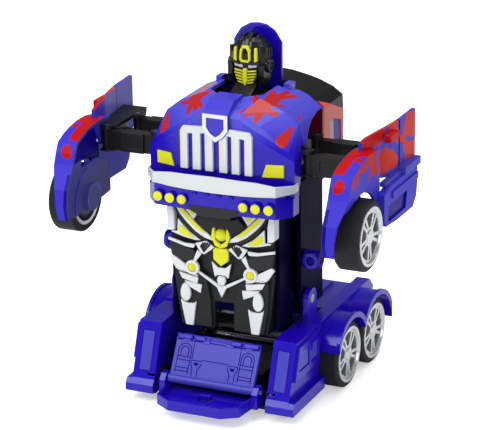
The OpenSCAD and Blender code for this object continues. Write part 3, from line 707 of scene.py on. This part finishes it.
def breast():
    relief("chest_notch_white", [(14.6, 131.5), (25.8, 131.5), (19.4, 124.6)])
    inlay("chest_notch_yellow", [(17.4, 131), (23.4, 131), (19.8, 127.2)], 0.3)
    relief("breast_block", [
        (3, 122.6), (7.3, 117.2), (14.6, 121.0), (17.0, 124.8), (12.6, 129.6), (8, 127.6), (3, 128)],
        "black", 1.0, bevel=0.6)
    relief("breast_bridge", [(-6, 120.8), (6, 120.8), (8, 127), (6, 134), (-6, 134), (-8, 127)],
           "black", 1.2, bevel=0.6, maker=prism)


# ------------------------------------------------------------------ lamps and trim on the chest
LAMP_Z = 141.8
LAMPS = ((21.7, -9.9), (30.3, -9.4), (39.1, -8.8))    # x and front face of the lamps on one side


def chest_plate():
    """Black plate that hangs from the lamp bar."""
    prism("chest_plate", "xz", [
        (-17.4, 138.6), (17.4, 138.6), (17.6, 135.4), (10, 131.6), (-10, 131.6), (-17.6, 135.4)],
        -10.4, -7.6, "char", "chest", 0.5)


def lamps():
    for s, side in SIDES:
        for k, (x, y) in enumerate(LAMPS):
            tag = "%s_%d" % (side, k)
            ring("lamp_ring_" + tag, (s * x, y - 1.2, LAMP_Z), "y", 3.9, 3.1, 1.0, "blue", "chest", 28)
            dome("lamp_lens_" + tag, (s * x, y - 1.7, LAMP_Z), 3.2, 1.3, "yellow", "chest")


def ledge_studs():
    """Small plain studs on the ledge above the lamps."""
    for k in range(4):
        lathe("ledge_stud_%d" % k, (-13 + 8.6 * k, -9.9, 146.6), "z",
              [(AXIS_GAP, 0.9), (1.5, 0.8), (1.9, 0.3), (1.9, -0.4)], "blue", "chest", 16)


# ------------------------------------------------------------------ head: an own plain helmet
# corner points of a helmet section, as parts of its half width and half depth
HELMET_CORNERS = [
    (1.0, 0.0), (1.0, 0.62), (0.72, 0.9), (0.4, 1.0), (-0.4, 1.0), (-0.72, 0.9), (-1.0, 0.62),
    (-1.0, 0.0), (-1.0, -0.5), (-0.78, -0.84), (-0.34, -1.0), (0.34, -1.0), (0.78, -0.84), (1.0, -0.5)]
# each section: height, half width, front and back
HELMET_SECTIONS = [
    (205.6, 5.6, 46.5, 57.0), (208.5, 8.2, 45.2, 58.5), (212, 10.6, 44.2, 60.0), (216, 12.0, 43.6, 61.0),
    (221, 12.6, 43.2, 61.6), (227, 12.4, 43.4, 61.8), (231.5, 11.0, 44.6, 61.6), (234.6, 8.6, 46.8, 60.6),
    (236.4, 5.2, 50.0, 58.6)]
NECK_BASE = (0, 50, 198)


def helmet_shell():
    bm = bmesh.new()
    rows = []
    for z, half_width, front, back in HELMET_SECTIONS:
        y, half_depth = (front + back) / 2, (back - front) / 2
        rows.append([bm.verts.new(P(half_width * u, y + half_depth * v, z)) for u, v in HELMET_CORNERS])
    for a, b in zip(rows, rows[1:]):
        join_loops(bm, a, b)
    bm.faces.new(rows[0])
    bm.faces.new(rows[-1][::-1])
    shell = finish_mesh("helmet_shell", bm, "gloss_black", "torso", 0.5)
    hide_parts("head_helmet")


def neck():
    lathe("neck", NECK_BASE, "z", [
        (AXIS_GAP, 0), (9.4, 0), (8.6, 3), (7.4, 8), (6.4, 10), (AXIS_GAP, 10)], "gloss_black", "torso", 24)
    lathe("neck_collar", NECK_BASE, "z", [
        (AXIS_GAP, 0.1), (12.0, 0.1), (11.4, 2.0), (8.4, 3.4), (AXIS_GAP, 3.4)], "black", "torso", 24)
    prism("neck_column", "yz", [(31, 199), (31, 200.6), (41, 206.0), (45, 208.4), (58, 208.4), (59, 199)],
          -7.4, 7.4, "gloss_black", "torso", 1.2)


def brow_arch():
    """Raised arch outline: a flat frame between two outlines of equally many points."""
    outer = [(-2.6, 221.6), (-3.9, 223.4), (-3.5, 229.6), (-1.9, 232.4), (1.9, 232.4), (3.5, 229.6),
             (3.9, 223.4), (2.6, 221.6)]
    inner = [(-1.6, 222.9), (-2.5, 224.0), (-2.2, 228.9), (-1.1, 230.9), (1.1, 230.9), (2.2, 228.9),
             (2.5, 224.0), (1.6, 222.9)]
    front, back = 41.8, 44.6
    bm = bmesh.new()
    loops = []
    for pts, y in ((outer, front), (outer, back), (inner, back), (inner, front)):
        loops.append([bm.verts.new(P(x, y, z)) for x, z in pts])
    for k in range(4):
        join_loops(bm, loops[k], loops[(k + 1) % 4])
    finish_mesh("brow_arch", bm, "yellow", "torso", 0.15)


def brow_and_eyes():
    brow_arch()
    pair("brow_bar", "xz", [(6.2, 221.8), (8.4, 222.6), (7.9, 231.0), (6.4, 231.4)], 42.6, 45.0,
         "yellow", "torso", 0.3)
    pair("brow_ridge", "xz", [(3.6, 221.0), (10.4, 223.0), (10.6, 221.3), (4.2, 219.6)], 42.4, 45,
         "gloss_black", "torso", 0.3)
    pair("eye", "xz", [(1.9, 217.6), (7.6, 218.6), (8.0, 220.7), (2.2, 219.6)], 43.0, 44.4,
         "eye", "torso", 0.2)


def mouth_guard():
    """Olive plate with a centre ridge and slanted ribs."""
    prism("mouth_guard", "xz", [
        (-7.6, 216.8), (-2, 216.2), (2, 216.2), (7.6, 216.8), (7.2, 211), (4.4, 207.4), (-4.4, 207.4),
        (-7.2, 211)], 42.9, 45.4, "olive", "torso", 0.4)
    ridge = prism("mouth_ridge", "xz", [(-1.3, 217.4), (1.3, 217.4), (1.6, 208.6), (0, 204.9), (-1.6, 208.6)],
                  41.4, 44, "yellow", "torso", 0.5)
    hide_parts("head_mask")
    for k in range(5):
        z = 215.9 - 2.0 * k
        reach = 7.6 - 0.75 * max(0, k - 1)
        rib = [(1.6, z - 0.9), (1.6, z - 0.1), (reach, z + 0.9), (reach, z + 0.1)]
        pair("mouth_rib_%d" % k, "xz", rib, 42.1, 44, "yellow", "torso", 0.15)


def cheeks_and_ears():
    pair("cheek_guard", "yz", [
        (43.8, 207.5), (43.0, 213), (43.2, 219.5), (50, 221.5), (56, 219), (56, 209), (50, 205.8)],
        9.2, 12.9, "gloss_black", "torso", 0.6)
    disc = [(AXIS_GAP, 2.4), (1.6, 2.4), (1.8, 1.6), (3.0, 1.6), (3.2, 2.4), (4.4, 2.2), (4.8, 1.2), (4.8, 0)]
    for s, side in SIDES:
        lathe("ear_disc_" + side, (s * 12.4, 51.5, 218.4), "x", disc, "gloss_black", "torso", 28, sign=s)
        for k in range(3):
            y = 47.6 + 4.0 * k
            box("temple_rib_%s_%d" % (side, k), s * 11.6, s * 13.3, y, y + 1.5, 223.5, 231.0 - 0.8 * k,
                "gloss_black", "torso", 0.4)


def crown():
    pair("crown_fin", "yz", [(45.4, 229.5), (47.2, 235.2), (52, 237.6), (59, 237.4), (60, 230)], 4.4, 6.0,
         "gloss_black", "torso", 0.4)
    prism("crown_crest", "yz", [(44.2, 231.5), (46.8, 236.2), (52, 238.8), (59.5, 238.6), (60, 230)],
          -1.6, 1.6, "gloss_black", "torso", 0.5)


# ------------------------------------------------------------------ lines on the sloped flap
FLAP_HINGE = (-17, 18)              # y and z of the flap's hinge line
FLAP_SLOPE = math.radians(60.5)
FLAP_FACE = 1.2                     # where the lines start, measured off the hinge line
LOOP_X, LOOP_U = 22.6, 19.4         # centre of the round end of a belt loop
LINE_WIDTH = 0.55
# fork outline: |x| and distance up the slope
FORK = [(16.6, 13.6), (9.6, 13.6), (9.4, 11.4), (11.6, 7.4), (11.4, 2.4), (15.4, 2.4), (15.2, 7.4),
        (16.8, 11.4), (16.6, 13.6)]
FORK_SLOT = [(11.4, 12.2), (14.8, 12.2), (14.2, 10.4), (12.0, 10.4)]


def on_flap(x, u, h):
    """Point at x, u up the slope and h off it."""
    y, z = FLAP_HINGE
    cos, sin = math.cos(FLAP_SLOPE), math.sin(FLAP_SLOPE)
    return P(x, y + u * cos - h * sin, z + u * sin + h * cos)


def flap_piece(name, pts, mat, low, high, bevel):
    """Plate on the flap; pts are (x, distance up the slope)."""
    bm = bmesh.new()
    slab(bm, [on_flap(x, u, low) for x, u in pts], [on_flap(x, u, high) for x, u in pts])
    return finish_mesh(name, bm, mat, "flap", bevel)


def flap_line(name, line, width=LINE_WIDTH):
    """Navy line of even width, drawn through points (x, distance up the slope)."""
    left, right = [], []
    last = len(line) - 1
    for i, (x, u) in enumerate(line):
        x0, u0 = line[max(i - 1, 0)]
        x1, u1 = line[min(i + 1, last)]
        d = Vector((x1 - x0, u1 - u0)).normalized() * width / 2
        left.append((x - d.y, u + d.x))
        right.append((x + d.y, u - d.x))
    flap_piece(name, left + right[::-1], "navy", FLAP_FACE, 1.62, 0.0)


def flap_lines(s, side):
    """Belt loop, its rungs, and the fork beside it."""
    x = s * LOOP_X
    for tag, r, foot in (("outer", 4.6, 4.0), ("inner", 2.7, 15.5)):
        bend = arc((x, LOOP_U), r, 0, 180, 12)
        flap_line("loop_%s_%s" % (tag, side), [(x + r, foot)] + bend + [(x - r, foot)])
    for k, u in enumerate((15.2, 12.9, 7.8, 5.6)):
        flap_line("rung_%s_%d" % (side, k), [(x - 4.6, u), (x + 4.6, u)])
    flap_line("fork_" + side, [(s * px, u) for px, u in FORK])
    flap_line("seam_side_" + side, [(s * 16.8, 26.2), (s * 16.8, 14.4)], 0.5)
    flap_piece("fork_slot_" + side, [(s * px, u) for px, u in FORK_SLOT], "navy", FLAP_FACE, 1.66, 0.0)


def flap_knuckles(s, side):
    for k, (x0, x1) in enumerate(((8.6, 17.2), (18.2, 29.4))):
        xa, xb = sorted((s * x0, s * x1))
        corners = [(xa, 26.6), (xb, 26.6), (xb, 30.2), (xa, 30.2)]
        flap_piece("knuckle_%s_%d" % (side, k), corners, "blue", 0.6, 3.0, 0.9)


def flap_details():
    for s, side in SIDES:
        flap_lines(s, side)
        flap_knuckles(s, side)
    flap_line("seam_top", [(-29.2, 26.3), (29.2, 26.3)], 0.6)
    flap_line("seam_mid", [(-9.4, 14.4), (9.4, 14.4)], 0.45)


# ------------------------------------------------------------------ base and torso side trim
INSET_LEAN = math.radians(20.7)     # how far the front blocks lean back
INSET_CENTRE = (-13.4, 32.7)
WINDOW_X = (57.0, 57.7)
BOSS_Z = 95


def on_block(u, h):
    """Point (y, z) at u up the leaning front of a block and h off it."""
    y, z = INSET_CENTRE
    cos, sin = math.cos(INSET_LEAN), math.sin(INSET_LEAN)
    return (y + u * sin - h * cos, z + u * cos + h * sin)


def block_trim(s, side):
    """Inset front panel and two side windows of a front block, as thin pieces in a paler blue of painted
    light.
    """
    inset = [on_block(-12.6, 0.2), on_block(13.6, 0.2), on_block(13.6, -0.9), on_block(-12.6, -0.9)]
    prism("block_inset_" + side, "yz", inset, s * 44.5, s * 52.5, "lit_blue", "base", 0.2)
    x0, x1 = WINDOW_X
    prism("block_window_front_" + side, "yz", [(-7.0, 32.4), (-3.1, 43.6), (9.6, 43.6), (9.6, 32.4)],
          s * x0, s * x1, "lit_blue", "base", 0.15)
    prism("block_window_rear_" + side, "yz", [(12.9, 32.4), (16.7, 43.6), (24.6, 43.6), (24.6, 32.4)],
          s * x0, s * x1, "lit_blue", "base", 0.15)


def boss_trim(s, side):
    """Ring on the front of a torso boss, and the plug in its side."""
    ring("boss_ring_" + side, (s * 50.4, 31.2, BOSS_Z), "y", 5.6, 3.0, 1.1, "blue", "torso", 32)
    lathe("boss_hole_" + side, (s * 50.4, 31.6, BOSS_Z), "y", [
        (AXIS_GAP, -0.8), (1.2, -0.8), (1.6, -0.2), (3.1, -0.2), (3.1, 0.6)], "black", "torso", 20)
    lathe("boss_plug_" + side, (s * 48.2, 36, BOSS_Z), "x", [
        (AXIS_GAP, 7.3), (1.2, 7.3), (1.5, 6.9), (1.9, 6.9), (2.2, 7.3), (2.62, 7.3), (2.62, 0)],
        "black", "torso", 20, sign=s)


def base_details():
    box("tray_tab", -3.8, 3.8, -27.5, -24.2, 10.6, 14.4, "blue", "base", 0.5)
    for s, side in SIDES:
        block_trim(s, side)
        boss_trim(s, side)


# ------------------------------------------------------------------ arms
def fender_liners(s, side):
    """Dark inner walls of the arch and fender; they leave room for the folded bar."""
    body = side + "_arm"
    prism("arch_liner_" + side, "yz", [
        (0, 158.5), (8, 161.8), (14, 163), (24, 161), (24, 150), (18.6, 146), (15, 150.5), (9, 155.2)],
        s * 99.2, s * 100.3, "navy", body, 0.2)
    prism("fender_liner_front_" + side, "yz", [
        (-39.3, 147.5), (-34.6, 155.5), (-30.9, 162), (-28.1, 169), (-25.2, 174), (-22, 175.3), (-22, 150),
        (-36, 146)], s * 89.2, s * 90.9, "navy", body, 0.2)
    prism("fender_liner_top_" + side, "yz", [
        (-22, 175.6), (-18.4, 176.5), (-10.6, 178.6), (0.2, 180.1), (11.7, 180.1), (15.6, 179), (15.6, 156),
        (5, 157), (-9.9, 157.1), (-17, 156), (-22, 153.8)], s * 96.2, s * 97.4, "navy", body, 0.2)
    prism("fender_liner_step_" + side, "yz", [(-22.8, 154.4), (-22.8, 175.2), (-21.8, 175.4), (-21.8, 154.4)],
          s * 89.4, s * 97.2, "navy", body, 0.1)


def wheel_guard(s, side):
    """Curved rib and hub ring on the guard, and the dark back of the rim behind it."""
    y, z = ARM_WHEEL
    rib = arc(ARM_WHEEL, 21.6, 98, 194, 12) + arc(ARM_WHEEL, 20.8, 98, 194, 12)[::-1]
    prism("guard_rib_" + side, "yz", rib, s * 88.5, s * 89.3, "blue", side + "_arm", 0.1)
    # hub ring in the paler blue of painted light
    ring("hub_ring_" + side, (s * 87.05, -8, 134), "x", 9.0, 8.3, 0.3, "lit_blue", side + "_arm")
    disc = [(2.5, 0.0), (18.4, 0.0), (18.4, 0.8), (2.5, 0.8), (2.5, 0.0)]
    lathe("rim_back_" + side, (s * 92.0, y, z), "x", disc, "black", side + "_arm_wheel", 40, sign=s)


def arm_details():
    for s, side in SIDES:
        fender_liners(s, side)
        wheel_guard(s, side)


# ------------------------------------------------------------------ studio, in metres
FLOOR_HALF = 6
FLOOR_GLOW = 0.45
ROOM_FILL = 0.55      # brightness of the room for soft light
ROOM_SHINE = 0.3      # dimmer in reflections, which keeps the paint deep
# each light: place, target, size and power
LIGHTS = {
    "key": ((-0.55, -0.8, 1.0), (0, 0, 0.12), 0.7, 9.0),
    "top": ((0.1, 0.1, 1.3), (0, 0, 0.1), 0.9, 9.0),
    "fill": ((1.0, -0.7, 0.5), (0, 0, 0.12), 0.6, 3.0),
}
CAM_POS = (0.6367, -1.4075, 0.6600)
CAM_AZIMUTH = math.radians(24.1454)
CAM_ELEVATION = math.radians(19.3733)
CAM_ROLL = math.radians(-0.6301)


def backdrop():
    """White to the camera, softer as a light, dimmer still in reflections."""
    world = bpy.data.worlds.new("studio")
    SCENE.world = world
    world.use_nodes = True
    nodes, links = world.node_tree.nodes, world.node_tree.links
    rays = nodes.new("ShaderNodeLightPath").outputs

    def background(strength, white=1.0):
        node = nodes.new("ShaderNodeBackground")
        node.inputs[0].default_value = (white, white, white, 1.0)
        node.inputs[1].default_value = strength
        return node.outputs[0]

    def switch(ray, off, on):
        node = nodes.new("ShaderNodeMixShader")
        links.new(rays[ray], node.inputs[0])
        links.new(off, node.inputs[1])
        links.new(on, node.inputs[2])
        return node.outputs[0]

    seen = switch("Is Camera Ray", background(ROOM_FILL), background(1.0))
    room = switch("Is Glossy Ray", seen, background(ROOM_SHINE, 0.8))
    links.new(room, nodes["World Output"].inputs[0])


def floor_material():
    """Pale matt floor that glows softly to the camera, so it meets the white without a line."""
    g = Graph("floor_white")
    shader = g.n("ShaderNodeBsdfPrincipled")
    tone = g.mix(g.noise(3.0, 2.0), rgb((0.93, 0.93, 0.93)), rgb((0.96, 0.96, 0.96)))
    g.link(tone, shader.inputs["Base Color"])
    shader.inputs["Roughness"].default_value = 0.9
    shader.inputs["Specular IOR Level"].default_value = 0.1
    shader.inputs["Emission Color"].default_value = (1, 1, 1, 1)
    seen = g.n("ShaderNodeLightPath").outputs["Is Camera Ray"]
    g.link(g.math("MULTIPLY", seen, FLOOR_GLOW), shader.inputs["Emission Strength"])
    g.link(shader.outputs[0], g.n("ShaderNodeOutputMaterial").inputs[0])
    return g.mat


def floor():
    bm = bmesh.new()
    corners = ((-1, -1), (1, -1), (1, 1), (-1, 1))
    bm.faces.new([bm.verts.new((x * FLOOR_HALF, y * FLOOR_HALF, 0.0)) for x, y in corners])
    mesh = bpy.data.meshes.new("floor")
    bm.to_mesh(mesh)
    bm.free()
    mesh.materials.append(floor_material())
    ob = bpy.data.objects.new("floor", mesh)
    SCENE.collection.objects.link(ob)


def lights():
    for name, (place, target, size, power) in LIGHTS.items():
        lamp = bpy.data.lights.new(name, "AREA")
        lamp.shape = "SQUARE"
        lamp.size = size
        lamp.energy = power
        ob = bpy.data.objects.new(name, lamp)
        ob.location = place
        ob.rotation_mode = "QUATERNION"
        ob.rotation_quaternion = (Vector(target) - Vector(place)).to_track_quat("-Z", "Y")
        SCENE.collection.objects.link(ob)


def camera():
    """The photo's view: azimuth from the front, elevation, and a slight roll."""
    ob = bpy.data.objects.new("camera", bpy.data.cameras.new("camera"))
    SCENE.collection.objects.link(ob)
    lens = ob.data
    lens.sensor_fit = "HORIZONTAL"
    lens.sensor_width = 36.0
    lens.lens = 177.13
    lens.shift_x = -0.00567
    lens.shift_y = 0.00022
    lens.clip_start = 0.1
    lens.clip_end = 20
    turn = Matrix.Rotation(CAM_AZIMUTH, 3, "Z")
    tilt = Matrix.Rotation(math.pi / 2 - CAM_ELEVATION, 3, "X")
    roll = Matrix.Rotation(CAM_ROLL, 3, "Z")
    ob.rotation_mode = "QUATERNION"
    ob.rotation_quaternion = (turn @ tilt @ roll).to_quaternion()
    ob.location = CAM_POS
    SCENE.camera = ob


def view_settings():
    SCENE.view_settings.view_transform = "Standard"
    SCENE.view_settings.look = "None"
    SCENE.view_settings.exposure = 0.0


# ------------------------------------------------------------------ build
MATERIAL_STEPS = (blue_plastics, dark_plastics, trim_paints, metals_and_inner_parts, paint_nodes)
TORSO_STEPS = (waist_arcs, hips, vents, knees, shins, pelvis, centre_figure, breast)
CHEST_STEPS = (chest_plate, lamps, ledge_studs)
HEAD_STEPS = (helmet_shell, neck, brow_and_eyes, mouth_guard, cheeks_and_ears, crown)
BODY_STEPS = (flap_details, base_details, arm_details)
STUDIO_STEPS = (backdrop, floor, lights, camera, view_settings)

for step in MATERIAL_STEPS + TORSO_STEPS + CHEST_STEPS + HEAD_STEPS + BODY_STEPS + STUDIO_STEPS:
    step()
